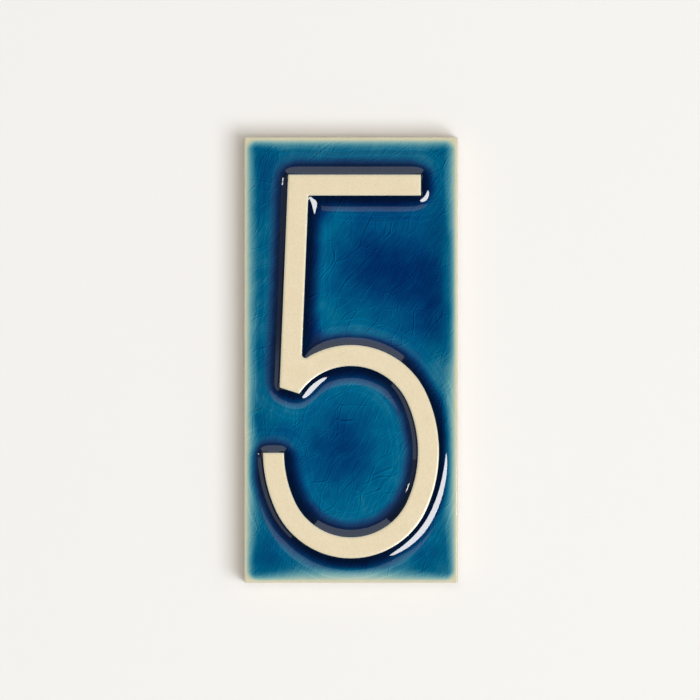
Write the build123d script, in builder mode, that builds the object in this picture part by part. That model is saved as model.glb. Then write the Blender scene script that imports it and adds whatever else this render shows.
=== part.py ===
from build123d import *
import os
from math import atan2, cos, degrees, hypot, radians, sin, tan

# House number tile: one piece of pressed and fired clay with a raised numeral 5. The numeral's face
# is bare clay. Glaze floods the field around it and climbs its sides in a hollow curve, a meniscus.
# Frame: X runs across the tile, Z runs up it, the face looks towards -Y, and the origin is the centre
# of the back, so the wall that it is fixed to is the plane Y = 0. Millimetres and degrees.

# Tile body
tile_width = 73.0
tile_height = 152.4
field_depth = 9.5  # from the back to the level glaze
corner_radius = 0.8  # upright corners
rim_round = 1.2  # arris around the face
back_chamfer = 0.6  # arris around the back

# Adhesive keys pressed into the back
key_count = 6
key_width = 4.0
key_depth = 0.8
key_border = 12.0  # plain back left around the keys

# Numeral, placed by its margins to the tile's edges
side_margin = 6.45  # bowl to either side of the tile
bottom_margin = 8.45  # bowl to the foot of the tile
top_margin = 12.9  # top bar to the head of the tile
bar_end_margin = 12.6  # end of the top bar to the right side
stem_margin = 15.05  # head of the stem to the left side
stroke = 7.15
bowl_height = 72.85
bowl_side_radius = 48.0  # flatter arcs at the sides of the bowl's oval
stem_lean = 2.3  # the stem's foot leans to the left
foot_drop = 14.5  # foot of the stem below the top of the bowl
foot_slope = 17.7  # slanting cut across the foot
terminal_drop = 0.4  # level end of the bowl below the bowl's centre

# Relief and glaze
relief = 2.6  # numeral's face above the level glaze
face_round = 0.2  # arris of the numeral's face
lip = 0.1  # bare upright clay between that arris and the top of the glaze
meniscus_reach = 4.6  # how far the climbing glaze reaches from the numeral's side
landing_angle = 5.0  # slope at which the meniscus meets the level glaze
glaze_root = 0.6  # the meniscus is modelled this far into the field and the numeral, to join them well
smooth_turn = 1.0  # sides that meet at less than this run on smoothly

front = Plane.XZ.z_dir
numeral_top = tile_height / 2 - top_margin
bar_right = tile_width / 2 - bar_end_margin
stem_left = stem_margin - tile_width / 2
bowl_half_width = tile_width / 2 - side_margin
bowl_half_height = bowl_height / 2
bowl_center = bottom_margin - tile_height / 2 + bowl_half_height
foot_level = bowl_center + bowl_half_height - foot_drop
terminal_level = bowl_center - terminal_drop

# The bowl is a four-centred oval: side arcs run smoothly into rounder arcs at the top and the bottom
bowl_side_offset = bowl_side_radius - bowl_half_width
bowl_cap_radius = (
    (bowl_half_width**2 + bowl_half_height**2 - 2 * bowl_half_width * bowl_side_radius)
    / (bowl_half_height - bowl_side_radius)
    / 2
)
bowl_cap_offset = bowl_half_height - bowl_cap_radius
bowl_joint_angle = degrees(atan2(bowl_cap_offset, bowl_side_offset))

# The meniscus is an arc through the contact line and the landing, which sinks a little further, to its trough
contact_height = relief - face_round - lip
chord = hypot(contact_height, meniscus_reach)
chord_angle = degrees(atan2(contact_height, meniscus_reach))
meniscus_radius = chord / 2 / sin(radians(chord_angle - landing_angle))
trough_reach = meniscus_reach + meniscus_radius * sin(radians(landing_angle))
arc_center_height = meniscus_radius * cos(radians(landing_angle))


def on_stem(level, across):
    """Point at a level, this far to the right of the stem's leaning left side."""
    return (stem_left + across - (numeral_top - level) * tan(radians(stem_lean)), level)


def below_foot(across):
    """Point on the foot's slanting cut, this far to the right of its corner."""
    corner, level = on_stem(foot_level, 0)
    return (corner + across, level - across * tan(radians(foot_slope)))


def bowl_oval(inset):
    """Outline of the bowl, or a line this far inside it."""
    side_radius = bowl_side_radius - inset
    cap_radius = bowl_cap_radius - inset
    side_arc = 2 * bowl_joint_angle
    cap_arc = 180 - side_arc
    CenterArc((-bowl_side_offset, bowl_center), side_radius, -bowl_joint_angle, side_arc)
    CenterArc((0, bowl_center + bowl_cap_offset), cap_radius, bowl_joint_angle, cap_arc)
    CenterArc((bowl_side_offset, bowl_center), side_radius, 180 - bowl_joint_angle, side_arc)
    CenterArc((0, bowl_center - bowl_cap_offset), cap_radius, 180 + bowl_joint_angle, cap_arc)


def glaze_section(root):
    """Section of the climbing glaze: X runs away from the numeral's side, Y stands off the field."""
    with Locations((-root, -glaze_root)):
        Rectangle(root + trough_reach, glaze_root + contact_height + lip / 2, align=Align.MIN)
    with Locations((trough_reach, arc_center_height)):
        Circle(meniscus_radius, mode=Mode.SUBTRACT)


def side_plane(point, direction):
    """Plane across the numeral's side, with X away from the numeral and Y off the field."""
    return Plane(origin=point, x_dir=direction.cross(front), z_dir=-direction)


# Numeral: the bowl's ring with its mouth cut open, then the stem and the top bar
with BuildSketch(Plane.XZ.offset(field_depth)) as numeral:
    with BuildLine():
        bowl_oval(0)
    make_face()
    with BuildLine():
        bowl_oval(stroke)
    make_face(mode=Mode.SUBTRACT)
    with BuildLine():
        Polyline(
            below_foot(0),
            below_foot(bowl_half_width),
            (0, terminal_level),
            (-tile_width, terminal_level),
            (-tile_width, numeral_top),
            on_stem(numeral_top, 0),
            close=True,
        )
    make_face(mode=Mode.SUBTRACT)
    with BuildLine():
        Polyline(
            on_stem(numeral_top, 0),
            on_stem(numeral_top, stroke),
            on_stem(foot_level, stroke),
            below_foot(stroke / 2),
            below_foot(0),
            close=True,
        )
    make_face()
    with BuildLine():
        Polyline(
            on_stem(numeral_top, 0),
            (bar_right, numeral_top),
            (bar_right, numeral_top - stroke),
            on_stem(numeral_top - stroke, 0),
            close=True,
        )
    make_face()

with BuildPart() as number_tile:
    # Slab with a softened face
    with BuildSketch(Plane.XZ):
        RectangleRounded(tile_width, tile_height, corner_radius)
    extrude(amount=field_depth)
    fillet(number_tile.faces().sort_by(Axis.Y).first.edges(), rim_round)
    chamfer(number_tile.faces().sort_by(Axis.Y).last.edges(), back_chamfer)

    # Keys for the adhesive
    with BuildSketch(Plane.XZ):
        with GridLocations((tile_width - 2 * key_border - key_width) / (key_count - 1), 0, key_count, 1):
            SlotOverall(tile_height - 2 * key_border, key_width, rotation=90)
    extrude(amount=key_depth, mode=Mode.SUBTRACT)

    # Raised numeral
    extrude(numeral.sketch, amount=relief)
    fillet(number_tile.faces().sort_by(Axis.Y).first.edges(), face_round)

    # Glaze that climbs each side of the numeral and turns round its outer corners
    outline = numeral.sketch.face().outer_wire().order_edges()
    for side, next_side in zip(outline, outline[1:] + outline[:1]):
        with BuildSketch(side_plane(side @ 0, side % 0)):
            glaze_section(glaze_root)
        sweep(path=side)
        leaving = side % 1
        turn = degrees(atan2(leaving.cross(next_side % 0).dot(front), leaving.dot(next_side % 0)))
        if turn > smooth_turn:
            with BuildSketch(side_plane(side @ 1, leaving)):
                glaze_section(0)
            revolve(axis=Axis(side @ 1, front), revolution_arc=turn)

number_tile.part.label = "number_tile"

os.makedirs("parts", exist_ok=True)
export_step(number_tile.part, "parts/number_tile.step")
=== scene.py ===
# %% [markdown]
# # A glazed house number tile
# This lesson dresses one pressed clay tile: a bare clay numeral stands proud of a field that is flooded
# with blue glaze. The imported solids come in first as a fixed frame, and everything made here sits on them.
# The frame is in metres. The tile is easier to think about in millimetres, so the shapes are made in
# millimetres and brought to metres when each is finished.

# %% Load the frame
from math import asin, atan2, cos, degrees, pi, radians, sin, sqrt, tan

import bmesh
import bpy
import numpy as np
from mathutils import Matrix, Vector
from mathutils.geometry import intersect_line_sphere_2d


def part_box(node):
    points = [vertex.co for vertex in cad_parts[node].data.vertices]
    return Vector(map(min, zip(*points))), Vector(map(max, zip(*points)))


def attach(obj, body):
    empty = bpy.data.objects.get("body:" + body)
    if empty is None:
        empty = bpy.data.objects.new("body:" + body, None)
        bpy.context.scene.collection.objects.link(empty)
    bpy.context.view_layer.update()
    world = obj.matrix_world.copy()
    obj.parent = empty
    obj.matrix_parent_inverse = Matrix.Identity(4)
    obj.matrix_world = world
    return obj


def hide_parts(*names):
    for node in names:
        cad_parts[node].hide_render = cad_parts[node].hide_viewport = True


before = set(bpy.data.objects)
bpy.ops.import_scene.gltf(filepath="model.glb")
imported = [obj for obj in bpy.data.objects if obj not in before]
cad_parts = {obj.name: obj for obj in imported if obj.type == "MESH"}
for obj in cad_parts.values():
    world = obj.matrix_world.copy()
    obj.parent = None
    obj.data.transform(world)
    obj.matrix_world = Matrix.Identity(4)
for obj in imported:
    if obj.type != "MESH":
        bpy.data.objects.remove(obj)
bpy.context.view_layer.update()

mm = 0.001
low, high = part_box("number_tile")
tile_width = (high.x - low.x) / mm
tile_height = (high.z - low.z) / mm
tile_depth = (high.y - low.y) / mm
print(f"tile {tile_width:.1f} x {tile_depth:.1f} x {tile_height:.1f} mm")

# %% [markdown]
# ## The clay slab
# The body is a plain slab whose edges were softened by a sponge before firing. A cube with bevelled edges
# is all it needs. The arris round the face and the four corners take one bevel of several segments, so the
# corners come out as parts of a ball, and the back takes a single chamfer. The slab starts a little thin:
# the glaze rolls up from the rim, and that roll is added when the face is raised.

# %% Slab
relief = 2.6
field_depth = tile_depth - relief
rim_fall = 0.2
rim_depth = field_depth - rim_fall
arris_radius = 0.5
arris_segments = 4
back_chamfer = 0.4
touch = 0.01

tile = bmesh.new()
bmesh.ops.create_cube(tile, size=1)
bmesh.ops.scale(tile, vec=(tile_width, rim_depth, tile_height), verts=tile.verts)
bmesh.ops.translate(tile, vec=(0, -rim_depth / 2, 0), verts=tile.verts)


def on_back(edge):
    """True for an edge that lies in the plane of the back."""
    return all(vert.co.y > -touch for vert in edge.verts)


bmesh.ops.bevel(
    tile,
    geom=[edge for edge in tile.edges if not on_back(edge)],
    offset=arris_radius,
    segments=arris_segments,
    profile=0.5,
    affect="EDGES",
    material=-1,
)
bmesh.ops.bevel(
    tile,
    geom=[edge for edge in tile.edges if on_back(edge)],
    offset=back_chamfer,
    segments=1,
    profile=0.5,
    affect="EDGES",
    material=-1,
)
print(f"slab of {len(tile.faces)} faces")

# %% [markdown]
# ## The numeral's outline
# The bowl of the 5 is a four-centred oval: two flat arcs at the sides run smoothly into two rounder ones at
# the top and the bottom. Such an oval can be walked by the direction in which its outline faces, because
# that direction doesn't jump where one arc hands over to the next. The stem, the bar and the slanting foot
# are straight, so their corners are enough. The outline runs with the clay on its left.

# %% Bowl of the numeral
side_margin = 6.45
bottom_margin = 8.45
top_margin = 12.9
bar_end_margin = 12.6
stem_margin = 15.05
stroke = 7.15
bowl_height = 72.85
bowl_side_radius = 48.0

bowl_half_width = tile_width / 2 - side_margin
bowl_half_height = bowl_height / 2
bowl_center = bottom_margin - tile_height / 2 + bowl_half_height
bowl_side_offset = bowl_side_radius - bowl_half_width
bowl_cap_radius = (
    (bowl_half_width**2 + bowl_half_height**2 - 2 * bowl_half_width * bowl_side_radius)
    / (bowl_half_height - bowl_side_radius)
    / 2
)
bowl_cap_offset = bowl_half_height - bowl_cap_radius
bowl_joint = atan2(bowl_cap_offset, bowl_side_offset)


def bowl_point(facing, inset):
    """Point of the bowl's oval, or of a line inside it, where the outline faces this way."""
    if abs(cos(facing)) > cos(bowl_joint):
        side = 1 if cos(facing) > 0 else -1
        center = Vector((-side * bowl_side_offset, bowl_center))
        radius = bowl_side_radius - inset
    else:
        side = 1 if sin(facing) > 0 else -1
        center = Vector((0, bowl_center + side * bowl_cap_offset))
        radius = bowl_cap_radius - inset
    return center + radius * Vector((cos(facing), sin(facing)))


print(f"bowl of radii {bowl_side_radius:.1f} and {bowl_cap_radius:.1f} mm")

# %% Corners of the numeral
stem_lean = radians(2.3)
foot_drop = 14.5
foot_slope = radians(17.7)
terminal_drop = 0.4
notch_radius = 1.2

numeral_top = tile_height / 2 - top_margin
bar_bottom = numeral_top - stroke
bar_right = tile_width / 2 - bar_end_margin
foot_level = bowl_center + bowl_half_height - foot_drop


def on_stem(level, across):
    """Point at a level, this far to the right of the stem's leaning left side."""
    head = stem_margin - tile_width / 2 + across
    return Vector((head - (numeral_top - level) * tan(stem_lean), level))


def facing_at_cap(start, end, inset):
    """Direction of the top cap of the bowl where a line from start to end first meets it."""
    center = Vector((0, bowl_center + bowl_cap_offset))
    crossings = intersect_line_sphere_2d(start, end, center, bowl_cap_radius - inset, False)
    spoke = min(crossings, key=lambda crossing: (crossing - start).length) - center
    return atan2(spoke.y, spoke.x)


foot = on_stem(foot_level, 0)
past_foot = foot + bowl_half_width * Vector((1, -tan(foot_slope)))
inner_corner = on_stem(bar_bottom, stroke)
foot_facing = facing_at_cap(foot, past_foot, stroke)
beside_stem = stroke + notch_radius / cos(stem_lean)
notch_path = (on_stem(bar_bottom, beside_stem), on_stem(bowl_center, beside_stem))
notch_facing = facing_at_cap(*notch_path, -notch_radius)
inner_end_facing = pi + asin(terminal_drop / (bowl_side_radius - stroke))
outer_end_facing = pi + asin(terminal_drop / bowl_side_radius)
print(f"foot meets the bowl at {degrees(foot_facing):.1f}, stem at {degrees(notch_facing):.1f} degrees")

# %% Outline of the numeral
arc_steps = 160
notch_steps = 12
inner_bowl = [
    bowl_point(facing, stroke) for facing in np.linspace(foot_facing, inner_end_facing - 2 * pi, arc_steps)
]
outer_bowl = [
    bowl_point(facing, 0) for facing in np.linspace(outer_end_facing, notch_facing + 2 * pi, arc_steps)
]
notch = [
    bowl_point(notch_facing, -notch_radius) + notch_radius * Vector((cos(turn), sin(turn)))
    for turn in np.linspace(notch_facing + pi, pi - stem_lean, notch_steps)
]
bar_and_stem = [
    inner_corner,
    Vector((bar_right, bar_bottom)),
    Vector((bar_right, numeral_top)),
    on_stem(numeral_top, 0),
    foot,
]
outline = np.array([point[:] for point in inner_bowl + outer_bowl + notch[1:] + bar_and_stem])
outline_ends = np.roll(outline, -1, axis=0)
outline_length = np.linalg.norm(outline_ends - outline, axis=1).sum()
print(f"outline of {len(outline)} points, {outline_length:.0f} mm round")

# %% [markdown]
# ## How far a point is from the numeral
# The height of the face and the depth of the glaze both follow from how far a point is from the clay of the
# numeral. The gap is measured to every short side of the outline and the least is kept. To tell the inside
# from the outside, a line is sent from the point to the right: from the inside it crosses the outline an
# odd number of times. Inside the numeral the gap counts as negative.

# %% Gaps to the outline
def numeral_gaps(points):
    """Distance of each point from the outline of the numeral, negative inside it."""
    nearest = np.full(len(points), np.inf)
    inside = np.zeros(len(points), bool)
    for start, end in zip(outline, outline_ends):
        along = end - start
        share = np.clip((points - start) @ along / (along @ along), 0, 1)
        reach = points - start - share[:, None] * along
        nearest = np.minimum(nearest, (reach**2).sum(axis=1))
        beside = (start[1] > points[:, 1]) != (end[1] > points[:, 1])
        turn = along[0] * (points[:, 1] - start[1]) - along[1] * (points[:, 0] - start[0])
        inside ^= beside & ((turn > 0) == (along[1] > 0))
    return np.where(inside, -1, 1) * np.sqrt(nearest)


def rim_gaps(points):
    """Distances of each point from the left, right, bottom and top sides of the tile."""
    half = np.array((tile_width / 2, tile_height / 2))
    left, bottom = (points + half).T
    right, top = (half - points).T
    return left, right, bottom, top


middle = np.zeros((1, 2))
print(f"the middle of the tile is {numeral_gaps(middle)[0]:.1f} mm from the numeral")

# %% [markdown]
# ## A face fine enough to raise
# The face becomes a height field, so it needs points. Cutting the long edges of the slab lays an even grid
# over it, and the faces near the numeral are cut again, twice, where the surface bends most. A finer grid
# all over would look the same and weigh ten times as much.

# %% Grid over the face
grid_pitch = 0.9


def long_edges(axis):
    """Edges that run along most of the tile in this direction."""
    span = (tile_width, 0, tile_height)[axis]
    return [edge for edge in tile.edges if abs(edge.verts[0].co[axis] - edge.verts[1].co[axis]) > span / 2]


for axis, span in ((0, tile_width), (2, tile_height)):
    bmesh.ops.subdivide_edges(tile, edges=long_edges(axis), cuts=round(span / grid_pitch) - 1)
print(f"grid of {len(tile.faces)} faces")

# %% Finer cells near the numeral
fine_bands = ((-3.0, 5.5), (-1.5, 2.7))
fine_rim = 2.0

for inner_limit, outer_limit in fine_bands:
    face_cells = [face for face in tile.faces if face.calc_center_median().y < touch - rim_depth]
    centers = np.array([face.calc_center_median().xz[:] for face in face_cells])
    gap = numeral_gaps(centers)
    rim_gap = np.minimum.reduce(rim_gaps(centers))
    chosen = (gap > inner_limit) & (gap < outer_limit) | (rim_gap < fine_rim)
    near = [face for face, is_near in zip(face_cells, chosen) if is_near]
    # A dict keeps each edge once and in the order it came, so that every run is the same
    cut_edges = dict.fromkeys(edge for face in near for edge in face.edges)
    bmesh.ops.subdivide_edges(tile, edges=list(cut_edges), cuts=1, use_grid_fill=True)
    print(f"{len(near)} cells cut, {len(tile.faces)} faces")

# %% [markdown]
# ## How the glaze settles
# Molten glaze wets the clay and climbs it, so its surface rises to the numeral in a hollow curve and dies
# away over a few millimetres. A curve of the gap alone would be right along a straight side, but the glaze
# stands higher in an inside corner, where two walls pull at it, and lower round a point. A stretched film
# with a weight on it does the same, and it can be found by patience: on a fine map of the face, every cell
# off the numeral is set again and again to a little less than the mean of its four neighbours.

# %% Map of the settled glaze
map_pitch = 0.3
climb_reach = 2.2
settle_rounds = 400

map_columns = np.arange(-tile_width / 2, tile_width / 2 + map_pitch, map_pitch)
map_rows = np.arange(-tile_height / 2, tile_height / 2 + map_pitch, map_pitch)
map_points = np.stack(np.meshgrid(map_columns, map_rows), axis=-1)
map_gap = numeral_gaps(map_points.reshape(-1, 2)).reshape(map_points.shape[:2])
settled = np.exp(-np.maximum(map_gap, -2 * map_pitch) / climb_reach)
weight = 4 + (map_pitch / climb_reach) ** 2
for _ in range(settle_rounds):
    framed = np.pad(settled, 1, mode="edge")
    around = framed[:-2, 1:-1] + framed[2:, 1:-1] + framed[1:-1, :-2] + framed[1:-1, 2:]
    settled = np.where(map_gap < 0, settled, around / weight)
print(f"map of {settled.shape[1]} x {settled.shape[0]} cells")


# %% Reading the map
def climb(points):
    """Share of the full climb at each point, 1 at the clay, read between the four nearest cells."""
    at = (points - map_points[0, 0]) / map_pitch
    cell = np.clip(at.astype(int), 0, np.array(settled.shape[::-1]) - 2)
    across, up = (at - cell).T
    column, row = cell.T
    lower = settled[row, column] * (1 - across) + settled[row, column + 1] * across
    upper = settled[row + 1, column] * (1 - across) + settled[row + 1, column + 1] * across
    return np.minimum(lower * (1 - up) + upper * up, 1)


def smooth_step(value, start, end):
    """Rises smoothly from 0 at start to 1 at end."""
    share = np.clip((value - start) / (end - start), 0, 1)
    return share * share * (3 - 2 * share)


print(f"{climb(middle)[0]:.2f} of the climb is left in the middle of the tile")

# %% [markdown]
# ## Raising the face
# Now each point of the face is lifted. Off the numeral it rises with the settled glaze, and on it with the
# worn round arris that stands above the line where the glaze stops. Towards the rim the whole face rolls
# down to meet the slab's own arris. Beside the head of the stem the glaze set in a slow swell that runs out
# far down the stem. It is too low to see, but its slope turns the window into one tick of light.

# %% Height of the face
edge_radius = 2.1
edge_drop = 0.2
edge_width = sqrt(edge_radius**2 - (edge_radius - edge_drop) ** 2)
climb_height = relief - edge_drop
rim_roll = 0.6
swell_center, swell_width, swell_lift = (-23.1, 58.1), 3.0, 0.35
swell_head, swell_foot = 2.4, 18.0

points = np.array([vert.co.xz[:] for vert in tile.verts])
fronts = np.array([-vert.co.y for vert in tile.verts])
gap = numeral_gaps(points)
rim_gap = np.maximum(np.minimum.reduce(rim_gaps(points)), 0)
roll = rim_fall * (1 - np.exp(-rim_gap / rim_roll))
across, above = (points - swell_center).T
along = np.where(above > 0, above / swell_head, above / swell_foot)
swell = swell_lift * np.exp(-((across / swell_width) ** 2) - along**2)
climbed = climb(points)
meniscus = climb_height * climbed * (1 + swell * (1 - climbed))
edge_gap = np.clip(edge_width + gap, 0, edge_width)
numeral = relief - edge_radius + np.sqrt(edge_radius**2 - edge_gap**2)
rise = roll + np.where(gap < 0, numeral, meniscus)
for vert, step in zip(tile.verts, rise):
    if vert.co.y < -back_chamfer - touch:
        vert.co.y -= step
print(f"face raised by up to {rise.max():.2f} mm")

# %% [markdown]
# ## What the mesh tells its material
# The mesh carries four numbers at every point. The gap to the numeral, in millimetres, draws the sharp line
# between clay and glaze where it is zero. The depth of the glaze, also in millimetres, is what colours it.
# The shade is painted shade: the share of the glaze's colour that is darkened at the foot of the numeral
# and towards the rim, where shade falls. The film is the last hundredth of a millimetre of glaze that
# stays on the rim and on the numeral's arris.
#
# The glaze is deepest where it climbs the numeral. That dark margin is partly this deep glaze and partly
# painted shade. Both are read from the settled film, turned back into a gap, so the margin is wider in an
# inside corner and narrower round a point, and here and there it is shifted, because no kiln shelf is
# level. The open fields hold pools, and the few places where the glaze ran thin are pools of less than
# nothing. At the rim it drained and left the clay bare, on each side by another width.

# %% Pools and margins
pools = (
    {"center": (10.0, 32.0), "spread": (14.0, 14.5), "extra": 0.41},
    {"center": (27.0, 22.0), "spread": (9.0, 18.0), "extra": 0.32},
    {"center": (32.7, 27.0), "spread": (1.7, 17.0), "extra": -0.2},
    {"center": (33.5, -43.0), "spread": (2.0, 15.0), "extra": 0.09},
    {"center": (0.0, 73.4), "spread": (30.0, 2.0), "extra": 0.09},
    {"center": (12.0, 49.0), "spread": (14.0, 2.8), "extra": 0.12},
    {"center": (-10.0, 51.0), "spread": (4.0, 4.0), "extra": 0.15},
    {"center": (-12.0, 11.0), "spread": (2.2, 4.0), "extra": 0.15},
    {"center": (-3.1, -30.1), "spread": (11.0, 13.7), "extra": 0.3},
    {"center": (-15.0, -33.0), "spread": (5.0, 6.0), "extra": 0.05},
    {"center": (-25.0, -25.0), "spread": (6.0, 3.5), "extra": 0.14},
    {"center": (-33.5, -39.0), "spread": (2.5, 7.0), "extra": 0.25},
    {"center": (-32.7, -20.0), "spread": (2.2, 8.0), "extra": 0.09},
    {"center": (30.0, -4.0), "spread": (5.0, 7.0), "extra": -0.12},
    {"center": (34.0, 0.0), "spread": (2.0, 7.0), "extra": 0.1},
    {"center": (-29.0, 62.0), "spread": (5.0, 12.0), "extra": 0.15},
    {"center": (-27.0, -66.0), "spread": (5.0, 6.0), "extra": 0.15},
    {"center": (27.0, -66.0), "spread": (6.0, 6.0), "extra": 0.07},
    {"center": (-31.0, 3.0), "spread": (4.0, 10.0), "extra": 0.06},
    {"center": (30.0, 55.0), "spread": (5.0, 14.0), "extra": 0.08},
    {"center": (0.0, -73.5), "spread": (22.0, 3.0), "extra": -0.12},
)
margin_shifts = (
    {"center": (27.0, -3.0), "spread": (9.0, 13.0), "shift": 0.9},
    {"center": (17.0, -33.0), "spread": (6.0, 14.0), "shift": 0.6},
    {"center": (-13.0, -47.0), "spread": (10.0, 9.0), "shift": -0.4},
    {"center": (3.0, 67.0), "spread": (24.0, 4.0), "shift": -0.9},
    {"center": (4.0, 8.5), "spread": (15.0, 4.0), "shift": 0.7},
)
print(f"{len(pools)} pools and {len(margin_shifts)} shifted margins")

# %% Depth of the glaze
field_glaze = 0.43
climb_glaze = 0.41
climb_inner, climb_outer = 2.0, 6.3
least_climb = 1e-6

glaze_gap = np.where(gap > 0, -climb_reach * np.log(np.maximum(climbed, least_climb)), gap)
for margin in margin_shifts:
    reach = ((points - margin["center"]) / margin["spread"]) ** 2
    glaze_gap += margin["shift"] * np.exp(-reach.sum(axis=1))
glaze = field_glaze + climb_glaze * (1 - smooth_step(glaze_gap, climb_inner, climb_outer))
for pool in pools:
    reach = ((points - pool["center"]) / pool["spread"]) ** 2
    glaze += pool["extra"] * np.exp(-reach.sum(axis=1))
print(f"glaze up to {glaze.max():.2f} mm deep")

# %% Cover of the glaze
bare_rims = (0.52, 0.6, 0.52, 0.82)
bare_corner, full_corner = 1.6, 6.2
drain_least, drain_more = 3.4, 2.1
drain_near, drain_far = 4.0, 20.0
glaze_stops, glaze_full = 1.3, 0.5

drained = drain_least + drain_more * (1 - smooth_step(gap, drain_near, drain_far))
side_gaps = rim_gaps(points)
left_gap, right_gap, bottom_gap, top_gap = side_gaps
corner_gap = np.minimum(left_gap, right_gap) + np.minimum(bottom_gap, top_gap)
covered = smooth_step(corner_gap, bare_corner, full_corner)
for side_gap, bare in zip(side_gaps, bare_rims):
    covered *= np.clip((side_gap - bare) / (drained - bare), 0, 1)
on_rim = smooth_step(fronts, rim_depth - glaze_stops, rim_depth - glaze_full)
covered *= on_rim
print(f"{(covered > 0).mean():.0%} of the points lie inside the bare rim")

# %% Painted shade in the glaze
# Painted shade: the glaze's colour is darkened at the foot of the numeral and towards the rim, and light is
# the share of it that is left
foot_light = 0.22
foot_inner, foot_outer = 0.8, 5.6
rim_light = 0.84
rim_inner, rim_outer = 4.0, 16.0

light = foot_light + (1 - foot_light) * smooth_step(glaze_gap, foot_inner, foot_outer)
light *= rim_light + (1 - rim_light) * smooth_step(rim_gap, rim_inner, rim_outer)
print(f"{light.min():.2f} of the light left at the foot of the numeral")

# %% Layers of the mesh
arris_film, rim_film = 0.01, 0.015
arris_reach = 1.0
film_inner, film_outer = -0.9, -0.3

on_arris = arris_film * smooth_step(gap, film_inner, film_outer)
layers = {
    "numeral_gap": gap,
    "glaze_depth": glaze * covered,
    # The painted shade goes to the material as the glaze_shade layer
    "glaze_shade": (1 - light) * covered,
    "glaze_film": on_rim * np.where(gap < arris_reach, on_arris, rim_film),
}
for name, values in layers.items():
    layer = tile.verts.layers.float.new(name)
    for vert, value in zip(tile.verts, values):
        vert[layer] = value
print(f"{len(layers)} layers on {len(tile.verts)} points")

# %% [markdown]
# ## Keys in the back
# Such a tile is pressed with grooves in its back for the adhesive to grip. Each is a circle drawn out into
# a slot. The flat back is taken out and filled again round the slots, and the slots are pushed into the
# clay and capped. A boolean would do it too, but this keeps the face's grid out of the matter.

# %% Key slots
key_count = 6
key_width = 4.0
key_depth = 0.8
key_border = 12.0
key_segments = 24
key_pitch = (tile_width - 2 * key_border - key_width) / (key_count - 1)
key_half_run = tile_height / 2 - key_border - key_width / 2

back = [face for face in tile.faces if all(on_back(edge) for edge in face.edges)]
bmesh.ops.delete(tile, geom=back, context="FACES")
border = [edge for edge in tile.edges if edge.is_boundary]
slot_edges = []
for key in range(key_count):
    center = Vector(((key - (key_count - 1) / 2) * key_pitch, 0, 0))
    half_step = Matrix.Rotation(pi / key_segments, 4, "Z")
    stand_up = Matrix.Translation(center) @ Matrix.Rotation(pi / 2, 4, "X")
    ring = bmesh.ops.create_circle(
        tile, segments=key_segments, radius=key_width / 2, matrix=stand_up @ half_step
    )["verts"]
    for vert in ring:
        vert.co.z += key_half_run if vert.co.z > 0 else -key_half_run
    slot_edges.append(list(dict.fromkeys(edge for vert in ring for edge in vert.link_edges)))
flat_back = border + [edge for slot in slot_edges for edge in slot]
bmesh.ops.triangle_fill(tile, use_beauty=True, use_dissolve=False, edges=flat_back, normal=(0, 1, 0))
for slot in slot_edges:
    walls = bmesh.ops.extrude_edge_only(tile, edges=slot)["geom"]
    floor_verts = [part for part in walls if isinstance(part, bmesh.types.BMVert)]
    floor_edges = [part for part in walls if isinstance(part, bmesh.types.BMEdge)]
    bmesh.ops.translate(tile, vec=(0, -key_depth, 0), verts=floor_verts)
    rim_of_floor = [edge for edge in floor_edges if all(vert in floor_verts for vert in edge.verts)]
    bmesh.ops.contextual_create(tile, geom=rim_of_floor)
bmesh.ops.recalc_face_normals(tile, faces=tile.faces)
open_edges = [edge for edge in tile.edges if not edge.is_manifold]
print(f"{key_count} keys, {len(tile.faces)} faces, {len(open_edges)} open edges")

# %% [markdown]
# ## The finished piece
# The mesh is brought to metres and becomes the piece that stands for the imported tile. All of it is shaded
# smooth, with creases only where it turns sharply: at the chamfer and the keys of the back.

# %% Tile piece
crease_angle = radians(40)

tile_mesh = bpy.data.meshes.new("glazed_number_tile")
bmesh.ops.scale(tile, vec=(mm, mm, mm), verts=tile.verts)
for face in tile.faces:
    face.smooth = True
tile.to_mesh(tile_mesh)
tile.free()
tile_mesh.set_sharp_from_angle(angle=crease_angle)
glazed_tile = bpy.data.objects.new("glazed_number_tile", tile_mesh)
bpy.context.scene.collection.objects.link(glazed_tile)
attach(glazed_tile, "root")
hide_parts("number_tile")
print(f"{glazed_tile.name}: {len(tile_mesh.vertices)} points")

# %% [markdown]
# ## Nodes by one helper
# Every material below is a graph of nodes. One small function adds a node, sets its properties and fills
# its sockets: a socket of another node becomes a link, and anything else a plain value. Colours are written
# as the hex values that a colour picker shows and turned to the linear light that Blender mixes.

# %% Helpers for materials
def linear(hex_colour):
    """Linear red, green, blue and alpha of an sRGB hex colour."""
    shares = [int(hex_colour[place : place + 2], 16) / 255 for place in (1, 3, 5)]
    return (*[s / 12.92 if s <= 0.04045 else ((s + 0.055) / 1.055) ** 2.4 for s in shares], 1.0)


def add_node(tree, kind, sockets=None, **settings):
    """Add a node with these settings, and give each of its sockets a link or a value."""
    made = tree.nodes.new(kind)
    for name, value in settings.items():
        setattr(made, name, value)
    for name, value in (sockets or {}).items():
        if isinstance(value, bpy.types.NodeSocket):
            tree.links.new(value, made.inputs[name])
        else:
            made.inputs[name].default_value = value
    return made


# A Mix node has a set of sockets for each kind of value, and these are the ones for colours
share, first_colour, second_colour, mixed_colour = 0, 6, 7, 2
print(f"the middle grey of a colour picker is {linear('#808080')[0]:.2f} in linear light")

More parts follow.
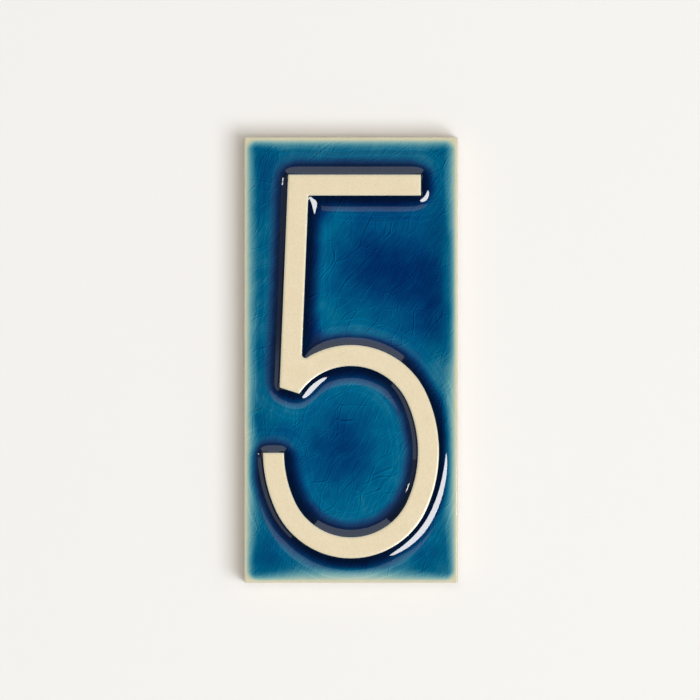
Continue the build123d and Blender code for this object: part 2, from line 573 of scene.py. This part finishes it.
# %% [markdown]
# ## Earthenware under a crackle glaze
# The body is a pale buff earthenware, pressed smooth and left bare on the numeral, the rim, the sides and
# the back: matt, with a faint cloudy tone and a few tan specks of iron, and greyer behind the rim. The face
# has a lighter coat of slip under a transparent copper-blue glaze. Light passes through that twice, and
# each tenth of a millimetre takes the same share of what is left, so its colour is the slip's colour times
# a tint raised to the depth, with a little more of the red lost all over. Thin glaze is aqua, the field is
# teal and the deep climb is navy, all from one tint, and painted shade darkens the glaze further at the foot
# of the numeral and towards the rim. One material holds both, because the rim fades from one to the other.

# %% Clay and glaze, where each of them is
shore_start, shore_end = -0.04, 0.06

glazed = bpy.data.materials.new("earthenware under crackle glaze")
glazed.use_nodes = True
tree = glazed.node_tree
tree.nodes.clear()

place = add_node(tree, "ShaderNodeTexCoord").outputs["Object"]
in_mm = add_node(
    tree, "ShaderNodeVectorMath", {"Vector": place, "Scale": 1 / mm}, operation="SCALE"
).outputs["Vector"]
depth = add_node(tree, "ShaderNodeAttribute", attribute_name="glaze_depth").outputs["Fac"]
film = add_node(tree, "ShaderNodeAttribute", attribute_name="glaze_film").outputs["Fac"]
# The painted shade of the glaze, read from the mesh
shade = add_node(tree, "ShaderNodeAttribute", attribute_name="glaze_shade").outputs["Fac"]
numeral_gap = add_node(tree, "ShaderNodeAttribute", attribute_name="numeral_gap").outputs["Fac"]
shore = add_node(
    tree,
    "ShaderNodeMapRange",
    {"Value": numeral_gap, "From Min": shore_start, "From Max": shore_end},
    interpolation_type="SMOOTHSTEP",
).outputs["Result"]
lying = add_node(
    tree, "ShaderNodeMath", {0: depth, 1: shore, 2: film}, operation="MULTIPLY_ADD"
).outputs["Value"]
print(f"{len(tree.nodes)} nodes for the depth")

# %% Colour of the clay
cloud_size = 5.0
speck_pitch = 2.4
speck_radius = 0.18
speck_chance = 0.25
speck_strength = 0.6

cloud = add_node(
    tree,
    "ShaderNodeTexNoise",
    {"Vector": in_mm, "Scale": 1 / cloud_size, "Detail": 4.0, "Roughness": 0.65},
).outputs["Fac"]
body = add_node(
    tree,
    "ShaderNodeMix",
    {share: cloud, first_colour: linear("#dbcaa5"), second_colour: linear("#e4d5b8")},
    data_type="RGBA",
).outputs[mixed_colour]
grains = add_node(tree, "ShaderNodeTexVoronoi", {"Vector": in_mm, "Scale": 1 / speck_pitch})
dot = add_node(
    tree,
    "ShaderNodeMapRange",
    {
        "Value": grains.outputs["Distance"],
        "From Min": 0.0,
        "From Max": speck_radius / speck_pitch,
        "To Min": speck_strength,
        "To Max": 0.0,
    },
).outputs["Result"]
is_speck = add_node(
    tree, "ShaderNodeMath", {0: grains.outputs["Color"], 1: 1 - speck_chance}, operation="GREATER_THAN"
).outputs["Value"]
speck = add_node(tree, "ShaderNodeMath", {0: dot, 1: is_speck}, operation="MULTIPLY").outputs["Value"]
clay = add_node(
    tree,
    "ShaderNodeMix",
    {share: speck, first_colour: body, second_colour: linear("#b08d5a")},
    data_type="RGBA",
).outputs[mixed_colour]
print(f"{len(tree.nodes)} nodes with the specks")

# %% Sides, mottle and slip
rim_end, sides_start = 0.4, 1.6
mottle_size = 0.8
mottle_low, mottle_high = 0.2, 0.8
mottle_swing = 0.06
slip_fade = 0.15

position = add_node(tree, "ShaderNodeSeparateXYZ", {"Vector": in_mm}).outputs
behind_rim = add_node(
    tree,
    "ShaderNodeMapRange",
    {"Value": position["Y"], "From Min": rim_end - rim_depth, "From Max": sides_start - rim_depth},
).outputs["Result"]
clay = add_node(
    tree,
    "ShaderNodeMix",
    {share: behind_rim, first_colour: clay, second_colour: linear("#d9d6cf")},
    data_type="RGBA",
    blend_type="MULTIPLY",
).outputs[mixed_colour]
mottle = add_node(
    tree, "ShaderNodeTexNoise", {"Vector": in_mm, "Scale": 1 / mottle_size, "Detail": 2.0}
).outputs["Fac"]
mottle = add_node(
    tree,
    "ShaderNodeMapRange",
    {
        "Value": mottle,
        "From Min": mottle_low,
        "From Max": mottle_high,
        "To Min": 1 - mottle_swing,
        "To Max": 1 + mottle_swing,
    },
).outputs["Result"]
clay = add_node(
    tree, "ShaderNodeVectorMath", {0: clay, "Scale": mottle}, operation="SCALE"
).outputs["Vector"]
slipped = add_node(tree, "ShaderNodeMapRange", {"Value": lying, "From Max": slip_fade}).outputs["Result"]
ground = add_node(
    tree,
    "ShaderNodeMix",
    {share: slipped, first_colour: clay, second_colour: linear("#f0e2c4")},
    data_type="RGBA",
).outputs[mixed_colour]
print(f"{len(tree.nodes)} nodes with the clay")

# %% [markdown]
# ## Crackle
# As the tile cools the glaze shrinks more than the clay and crazes: fine cracks that run in long bent lines
# and join in corners. The borders of Voronoi cells make such a net. The cells are drawn out along one slope
# and the plane is warped by slow noise, so the lines bend. A crack is a tiny wall that sends light aside,
# so each net is drawn three times: a dark line for the crack, and a painted highlight along one side of it
# and a fainter painted highlight along the other, where its wall would catch the light. The lines make the
# glaze's colour darker or lighter, fade where it is thin, and are weaker where the glaze healed. Between
# them its depth swings with soft clouds and with streaks along the slope of the cracks, and two pale rings
# that wander round the numeral show where the margin stood as it set.

# %% The face as a plane
warp_size = 22.0
warp_reach = 9.0

flat = add_node(tree, "ShaderNodeCombineXYZ", {"X": position["X"], "Y": position["Z"]}).outputs["Vector"]
drift = add_node(
    tree,
    "ShaderNodeTexNoise",
    {"Vector": flat, "Scale": 1 / warp_size, "Detail": 2.0},
    noise_dimensions="2D",
).outputs["Color"]
offset = add_node(
    tree,
    "ShaderNodeVectorMath",
    {0: drift, 1: (warp_reach,) * 3, 2: (-warp_reach / 2,) * 3},
    operation="MULTIPLY_ADD",
).outputs["Vector"]
bent = add_node(tree, "ShaderNodeVectorMath", {0: flat, 1: offset}, operation="ADD").outputs["Vector"]
print(f"{len(tree.nodes)} nodes with the warped plane")

# %% Cloudy and streaky glaze
blotch_size = 7.0
blotch_swing = 0.36
streak_length, streak_width = 12.0, 1.1
streak_slope = radians(57)
streak_swing = 0.28

blotch = add_node(
    tree,
    "ShaderNodeTexNoise",
    {"Vector": flat, "Scale": 1 / blotch_size, "Detail": 3.0, "Roughness": 0.55},
    noise_dimensions="2D",
).outputs["Fac"]
slanted = add_node(
    tree,
    "ShaderNodeMapping",
    {"Vector": bent, "Rotation": (0, 0, streak_slope), "Scale": (streak_length, streak_width, 1)},
    vector_type="TEXTURE",
).outputs["Vector"]
streak = add_node(
    tree,
    "ShaderNodeTexNoise",
    {"Vector": slanted, "Scale": 1.0, "Detail": 5.0, "Roughness": 0.6},
    noise_dimensions="2D",
).outputs["Fac"]
swing = add_node(
    tree,
    "ShaderNodeMath",
    {0: blotch, 1: blotch_swing, 2: 1 - blotch_swing / 2 - streak_swing / 2},
    operation="MULTIPLY_ADD",
).outputs["Value"]
swing = add_node(
    tree, "ShaderNodeMath", {0: streak, 1: streak_swing, 2: swing}, operation="MULTIPLY_ADD"
).outputs["Value"]
print(f"{len(tree.nodes)} nodes with the clouds")

# %% Where the cracks are open
heal_size = 6.0
heal_low, heal_high = 0.35, 0.6
healed_share = 0.35
crack_least, crack_full = 0.08, 0.42

healed = add_node(
    tree,
    "ShaderNodeTexNoise",
    {"Vector": bent, "Scale": 1 / heal_size, "Detail": 1.0},
    noise_dimensions="2D",
).outputs["Fac"]
open_cracks = add_node(
    tree,
    "ShaderNodeMapRange",
    {"Value": healed, "From Min": heal_low, "From Max": heal_high, "To Min": healed_share},
).outputs["Result"]
deep_enough = add_node(
    tree, "ShaderNodeMapRange", {"Value": lying, "From Min": crack_least, "From Max": crack_full}
).outputs["Result"]
open_cracks = add_node(
    tree, "ShaderNodeMath", {0: open_cracks, 1: deep_enough}, operation="MULTIPLY"
).outputs["Value"]
print(f"{len(tree.nodes)} nodes with the healed places")

# %% Crack lines and their painted highlights
crack_half_width = 0.2
crack_nets = (
    {"slope": radians(57), "length": 16.0, "width": 5.5, "swing": 0.48},
    {"slope": radians(63), "length": 9.0, "width": 2.7, "swing": 0.32},
    {"slope": radians(-14), "length": 14.0, "width": 8.5, "swing": 0.38},
)
# The dark crack itself, then a painted highlight on one side of it and a fainter painted highlight on the
# other
crack_and_highlight_offsets = (
    {"offset": (0, 0, 0), "weight": -1.0},
    {"offset": (0.32, -0.28, 0), "weight": 0.85},
    {"offset": (-0.34, 0.3, 0), "weight": 0.35},
)

lines = 1.0
for side in crack_and_highlight_offsets:
    shifted = add_node(
        tree, "ShaderNodeVectorMath", {0: bent, 1: side["offset"]}, operation="SUBTRACT"
    ).outputs["Vector"]
    for net in crack_nets:
        net_place = add_node(
            tree,
            "ShaderNodeMapping",
            {
                "Vector": shifted,
                "Rotation": (0, 0, net["slope"]),
                "Scale": (net["length"], net["width"], 1),
            },
            vector_type="TEXTURE",
        ).outputs["Vector"]
        border_gap = add_node(
            tree,
            "ShaderNodeTexVoronoi",
            {"Vector": net_place, "Scale": 1.0},
            feature="DISTANCE_TO_EDGE",
            voronoi_dimensions="2D",
        ).outputs["Distance"]
        line = add_node(
            tree,
            "ShaderNodeMapRange",
            {
                "Value": border_gap,
                "From Max": crack_half_width / net["width"],
                "To Min": side["weight"] * net["swing"],
                "To Max": 0.0,
            },
            interpolation_type="SMOOTHSTEP",
        ).outputs["Result"]
        lines = add_node(
            tree, "ShaderNodeMath", {0: line, 1: open_cracks, 2: lines}, operation="MULTIPLY_ADD"
        ).outputs["Value"]
print(f"{len(tree.nodes)} nodes with the cracks")

# %% Rings round the numeral
ring_gaps = (6.6, 8.6)
ring_half_width = 0.35
ring_swing = 0.22
ring_wander_size = 16.0
ring_wander = 3.0

wander = add_node(
    tree,
    "ShaderNodeTexNoise",
    {"Vector": flat, "Scale": 1 / ring_wander_size, "Detail": 1.0},
    noise_dimensions="2D",
).outputs["Fac"]
wandered = add_node(
    tree, "ShaderNodeMath", {0: wander, 1: ring_wander, 2: numeral_gap}, operation="MULTIPLY_ADD"
).outputs["Value"]
for ring_gap in ring_gaps:
    off_ring = add_node(
        tree, "ShaderNodeMath", {0: wandered, 1: ring_gap + ring_wander / 2}, operation="SUBTRACT"
    ).outputs["Value"]
    off_ring = add_node(tree, "ShaderNodeMath", {0: off_ring}, operation="ABSOLUTE").outputs["Value"]
    line = add_node(
        tree,
        "ShaderNodeMapRange",
        {"Value": off_ring, "From Max": ring_half_width, "To Min": ring_swing, "To Max": 0.0},
        interpolation_type="SMOOTHSTEP",
    ).outputs["Result"]
    lines = add_node(
        tree, "ShaderNodeMath", {0: line, 1: slipped, 2: lines}, operation="MULTIPLY_ADD"
    ).outputs["Value"]
print(f"{len(tree.nodes)} nodes with the rings")

# %% Colour through the glaze
tenths_per_mm = 10
glaze_tint = linear("#add6ec")[:3]
red_loss = 0.018

tenths = add_node(
    tree, "ShaderNodeMath", {0: lying, 1: tenths_per_mm}, operation="MULTIPLY"
).outputs["Value"]
crossed = add_node(tree, "ShaderNodeMath", {0: tenths, 1: swing}, operation="MULTIPLY").outputs["Value"]
passed = add_node(
    tree, "ShaderNodeVectorMath", {0: glaze_tint, 1: crossed}, operation="POWER"
).outputs["Vector"]
passed = add_node(
    tree,
    "ShaderNodeVectorMath",
    {0: passed, 1: (1 + red_loss, 1, 1), 2: (-red_loss, 0, 0)},
    operation="MULTIPLY_ADD",
).outputs["Vector"]
passed = add_node(
    tree, "ShaderNodeVectorMath", {0: passed, 1: (0, 0, 0)}, operation="MAXIMUM"
).outputs["Vector"]
# Painted shade darkens the glaze's colour here, at the foot of the numeral and towards the rim
lost = add_node(tree, "ShaderNodeMath", {0: shade, 1: shore}, operation="MULTIPLY").outputs["Value"]
lit = add_node(tree, "ShaderNodeMath", {0: 1.0, 1: lost}, operation="SUBTRACT").outputs["Value"]
# The crack lines, with their painted highlights, darken or lighten the colour here
lit = add_node(tree, "ShaderNodeMath", {0: lit, 1: lines}, operation="MULTIPLY").outputs["Value"]
seen = add_node(
    tree, "ShaderNodeVectorMath", {0: ground, 1: passed}, operation="MULTIPLY"
).outputs["Vector"]
seen = add_node(
    tree, "ShaderNodeVectorMath", {0: seen, "Scale": lit}, operation="SCALE"
).outputs["Vector"]
print(f"{len(tree.nodes)} nodes with the colour")

# %% Gloss and grain
bare_roughness = 0.8
glaze_roughness = 0.04
full_gloss_depth = 0.014
grain_size = 0.4
grain_depth = 0.03

roughness = add_node(
    tree,
    "ShaderNodeMapRange",
    {
        "Value": lying,
        "From Max": full_gloss_depth,
        "To Min": bare_roughness,
        "To Max": glaze_roughness,
    },
).outputs["Result"]
grain = add_node(
    tree, "ShaderNodeTexNoise", {"Vector": in_mm, "Scale": 1 / grain_size, "Detail": 2.0}
).outputs["Fac"]
tooth = add_node(tree, "ShaderNodeMath", {0: grain, 1: roughness}, operation="MULTIPLY").outputs["Value"]
relief_normal = add_node(
    tree, "ShaderNodeBump", {"Strength": 1.0, "Distance": grain_depth * mm, "Height": tooth}
).outputs["Normal"]
shader = add_node(
    tree,
    "ShaderNodeBsdfPrincipled",
    {"Base Color": seen, "Roughness": roughness, "IOR": 1.5, "Normal": relief_normal},
).outputs["BSDF"]
add_node(tree, "ShaderNodeOutputMaterial", {"Surface": shader})
tile_mesh.materials.append(glazed)
print(f"{glazed.name}: {len(tree.nodes)} nodes")

# %% [markdown]
# ## A pale wall
# The tile is shown fixed to a plain pale wall. The wall has an opening just inside the tile's back and can
# be seen from the front only, so that a camera that goes round behind it sees the back of the tile.

# %% Wall
wall_span = 14000.0
wall_gap = 0.1
opening_inset = 0.2
opening_border = back_chamfer + opening_inset

wall_shape = bmesh.new()
for width, height in (
    (wall_span, wall_span),
    (tile_width - 2 * opening_border, tile_height - 2 * opening_border),
):
    corners = bmesh.ops.create_circle(wall_shape, segments=4, radius=sqrt(0.5))["verts"]
    turned = Matrix.Rotation(pi / 2, 4, "X") @ Matrix.Rotation(pi / 4, 4, "Z")
    bmesh.ops.transform(wall_shape, matrix=turned, verts=corners)
    bmesh.ops.scale(wall_shape, vec=(width * mm, 1, height * mm), verts=corners)
bmesh.ops.translate(wall_shape, vec=(0, wall_gap * mm, 0), verts=wall_shape.verts)
bmesh.ops.bridge_loops(wall_shape, edges=wall_shape.edges)
for face in wall_shape.faces:
    face.normal_update()
    if face.normal.y > 0:
        face.normal_flip()
wall_mesh = bpy.data.meshes.new("wall")
wall_shape.to_mesh(wall_mesh)
wall_shape.free()
wall = bpy.data.objects.new("wall", wall_mesh)
bpy.context.scene.collection.objects.link(wall)
print(f"wall of {len(wall_mesh.polygons)} faces")

# %% Wall paint
paint = bpy.data.materials.new("matt wall paint")
paint.use_nodes = True
tree = paint.node_tree
tree.nodes.clear()
matt = add_node(tree, "ShaderNodeBsdfDiffuse", {"Color": linear("#f1efee")}).outputs["BSDF"]
behind = add_node(tree, "ShaderNodeNewGeometry").outputs["Backfacing"]
clear = add_node(tree, "ShaderNodeBsdfTransparent").outputs["BSDF"]
one_sided = add_node(tree, "ShaderNodeMixShader", {0: behind, 1: matt, 2: clear}).outputs["Shader"]
add_node(tree, "ShaderNodeOutputMaterial", {"Surface": one_sided})
wall_mesh.materials.append(paint)
print(f"{paint.name}: {len(tree.nodes)} nodes")

# %% [markdown]
# ## A studio for a mirror
# Glaze is a mirror, so what stands round the tile matters as much as how bright it is. An oval softbox at
# the lower right gives the white crescents, boards overhead and to the left give the grey bands, with a
# dim curtain over the left one, and a small window gives the tick of light beside the stem. A board under
# the camera and two faint glows lay a soft sheen over the field. The rest of the studio has to be dark: a
# tent of dark cloth in front of the wall, a little lighter to the upper left, which only reflections see,
# keeps the pale room out of the glaze. Two more lamps light the clay without being mirrored, and one lights
# the back.

# %% World
pale_room = linear("#f5f3ee")
fill_strength = 0.355

world = bpy.data.worlds.new("pale room")
bpy.context.scene.world = world
world.use_nodes = True
tree = world.node_tree
tree.nodes.clear()
ray = add_node(tree, "ShaderNodeLightPath").outputs
direct = add_node(
    tree, "ShaderNodeMath", {0: ray["Is Camera Ray"], 1: ray["Is Glossy Ray"]}, operation="MAXIMUM"
).outputs["Value"]
direct = add_node(
    tree, "ShaderNodeMath", {0: direct, 1: ray["Is Transmission Ray"]}, operation="MAXIMUM"
).outputs["Value"]
fill = add_node(
    tree, "ShaderNodeBackground", {"Color": linear("#fffaf0"), "Strength": fill_strength}
).outputs["Background"]
room = add_node(tree, "ShaderNodeBackground", {"Color": pale_room, "Strength": 1.0}).outputs["Background"]
both = add_node(tree, "ShaderNodeMixShader", {0: direct, 1: fill, 2: room}).outputs["Shader"]
add_node(tree, "ShaderNodeOutputWorld", {"Surface": both})
print(f"{world.name}: {len(tree.nodes)} nodes")

# %% Dark tent
tent_radius = 7.0

tent_shape = bmesh.new()
bmesh.ops.create_uvsphere(tent_shape, u_segments=32, v_segments=16, radius=tent_radius)
bmesh.ops.bisect_plane(
    tent_shape,
    geom=tent_shape.verts[:] + tent_shape.edges[:] + tent_shape.faces[:],
    plane_co=(0, 0, 0),
    plane_no=(0, 1, 0),
    clear_outer=True,
)
tent_mesh = bpy.data.meshes.new("dark_tent")
tent_shape.to_mesh(tent_mesh)
tent_shape.free()
tent = bpy.data.objects.new("dark_tent", tent_mesh)
bpy.context.scene.collection.objects.link(tent)
tent.visible_camera = False
tent.visible_diffuse = False
tent.visible_transmission = False
tent.visible_shadow = False
print(f"tent of {len(tent_mesh.polygons)} faces")

# %% Tent cloth
dark_end, light_start = -0.995 * tent_radius, -0.93 * tent_radius
up_left_end, down_right_end = -0.6 * tent_radius, 0.4 * tent_radius
up_left_glow, down_right_glow = 0.14, 0.02
least_glow = 0.006

cloth = bpy.data.materials.new("dark tent cloth")
cloth.use_nodes = True
tree = cloth.node_tree
tree.nodes.clear()
in_tent = add_node(
    tree,
    "ShaderNodeSeparateXYZ",
    {"Vector": add_node(tree, "ShaderNodeTexCoord").outputs["Object"]},
).outputs
aside = add_node(
    tree, "ShaderNodeMapRange", {"Value": in_tent["Y"], "From Min": dark_end, "From Max": light_start}
).outputs["Result"]
diagonal = add_node(
    tree, "ShaderNodeMath", {0: in_tent["X"], 1: in_tent["Z"]}, operation="SUBTRACT"
).outputs["Value"]
up_left = add_node(
    tree,
    "ShaderNodeMapRange",
    {
        "Value": diagonal,
        "From Min": up_left_end,
        "From Max": down_right_end,
        "To Min": up_left_glow,
        "To Max": down_right_glow,
    },
).outputs["Result"]
strength = add_node(
    tree, "ShaderNodeMath", {0: aside, 1: up_left, 2: least_glow}, operation="MULTIPLY_ADD"
).outputs["Value"]
glow = add_node(tree, "ShaderNodeEmission", {"Strength": strength}).outputs["Emission"]
add_node(tree, "ShaderNodeOutputMaterial", {"Surface": glow})
tent_mesh.materials.append(cloth)
print(f"{cloth.name}: {len(tree.nodes)} nodes")

# %% Lamps
neutral_white = (1.0, 1.0, 1.0)
cool_white = linear("#f4f9ff")[:3]
warm_white = linear("#fffdf7")[:3]
cream_white = linear("#fffaf0")[:3]
sky_white = linear("#e2eeff")[:3]
origin = (0, 0, 0)
diffuse, glossy = ("diffuse",), ("glossy",)
softbox, softbox_turn = (1.37, -1.6, -1.1), radians(15)


def add_panel(name, center, aim, size, radiance, colour, seen_by=("diffuse", "glossy"), oval_turn=None):
    """A flat lamp that looks at a point, as bright as this all over, for these kinds of rays."""
    lamp = bpy.data.lights.new(name, "AREA")
    lamp.shape = "RECTANGLE" if oval_turn is None else "ELLIPSE"
    lamp.size, lamp.size_y = size
    lamp.color = colour
    lamp.energy = radiance * lamp.size * lamp.size_y * (pi if oval_turn is None else pi**2 / 4)
    panel = bpy.data.objects.new(name, lamp)
    panel.location = center
    facing = (Vector(aim) - Vector(center)).to_track_quat("-Z", "Y").to_matrix()
    panel.rotation_euler = (facing @ Matrix.Rotation(oval_turn or 0, 3, "Z")).to_euler()
    panel.visible_camera = False
    panel.visible_diffuse = "diffuse" in seen_by
    panel.visible_glossy = "glossy" in seen_by
    bpy.context.scene.collection.objects.link(panel)


add_panel("key_light", (2.4, -4.0, -1.45), origin, (3.0, 2.8), 6.2, cool_white, diffuse)
add_panel("front_fill", (0.0, -4.2, 0.4), origin, (2.3, 2.3), 2.7, cream_white, diffuse)
add_panel("octabox", softbox, (1.37, 0, -1.1), (1.54, 2.08), 18.7, neutral_white, glossy, softbox_turn)
add_panel("top_board", (-0.12, -1.75, 2.5), (-0.12, -1.75, 0), (4.1, 3.3), 1.57, sky_white, glossy)
add_panel("left_board", (-2.5, -1.25, -1.3), (0, -1.25, -1.3), (1.55, 2.8), 1.0, sky_white, glossy)
add_panel("left_curtain", (-2.5, -1.25, 0.4), (0, -1.25, 0.4), (1.55, 0.6), 0.25, sky_white, glossy)
add_panel("near_board", (-0.2, -2.75, -0.72), (-0.2, 0, -0.72), (1.5, 0.62), 0.8, neutral_white, glossy)
add_panel("upper_glow", (-0.2, -2.75, 0.75), (-0.2, 0, 0.75), (1.9, 0.9), 0.13, neutral_white, glossy)
add_panel("left_glow", (-0.95, -2.75, 0.0), (-0.95, 0, 0.0), (0.9, 1.6), 0.13, neutral_white, glossy)
add_panel("window", (-2.44, -1.75, 0.72), origin, (0.36, 0.16), 22.0, warm_white, glossy)
add_panel("back_fill", (0.6, 1.6, 0.9), origin, (1.6, 1.6), 3.4, neutral_white)

# %% [markdown]
# ## Camera
# The picture looks squarely at the tile from some way off through a long lens, so no side of the tile
# shows. The distance follows from the width of the picture at the face.

# %% Camera
lens = 400.0
picture_width = 239.3
picture_center = (-0.33, 3.4)

camera_data = bpy.data.cameras.new("camera")
camera_data.lens = lens
camera = bpy.data.objects.new("camera", camera_data)
distance = picture_width * lens / camera_data.sensor_width
camera.location = mm * Vector((picture_center[0], -field_depth - distance, picture_center[1]))
camera.rotation_euler = (pi / 2, 0, 0)
bpy.context.scene.collection.objects.link(camera)
bpy.context.scene.camera = camera
bpy.context.scene.view_settings.view_transform = "Standard"
print(f"camera {distance:.0f} mm from the face")
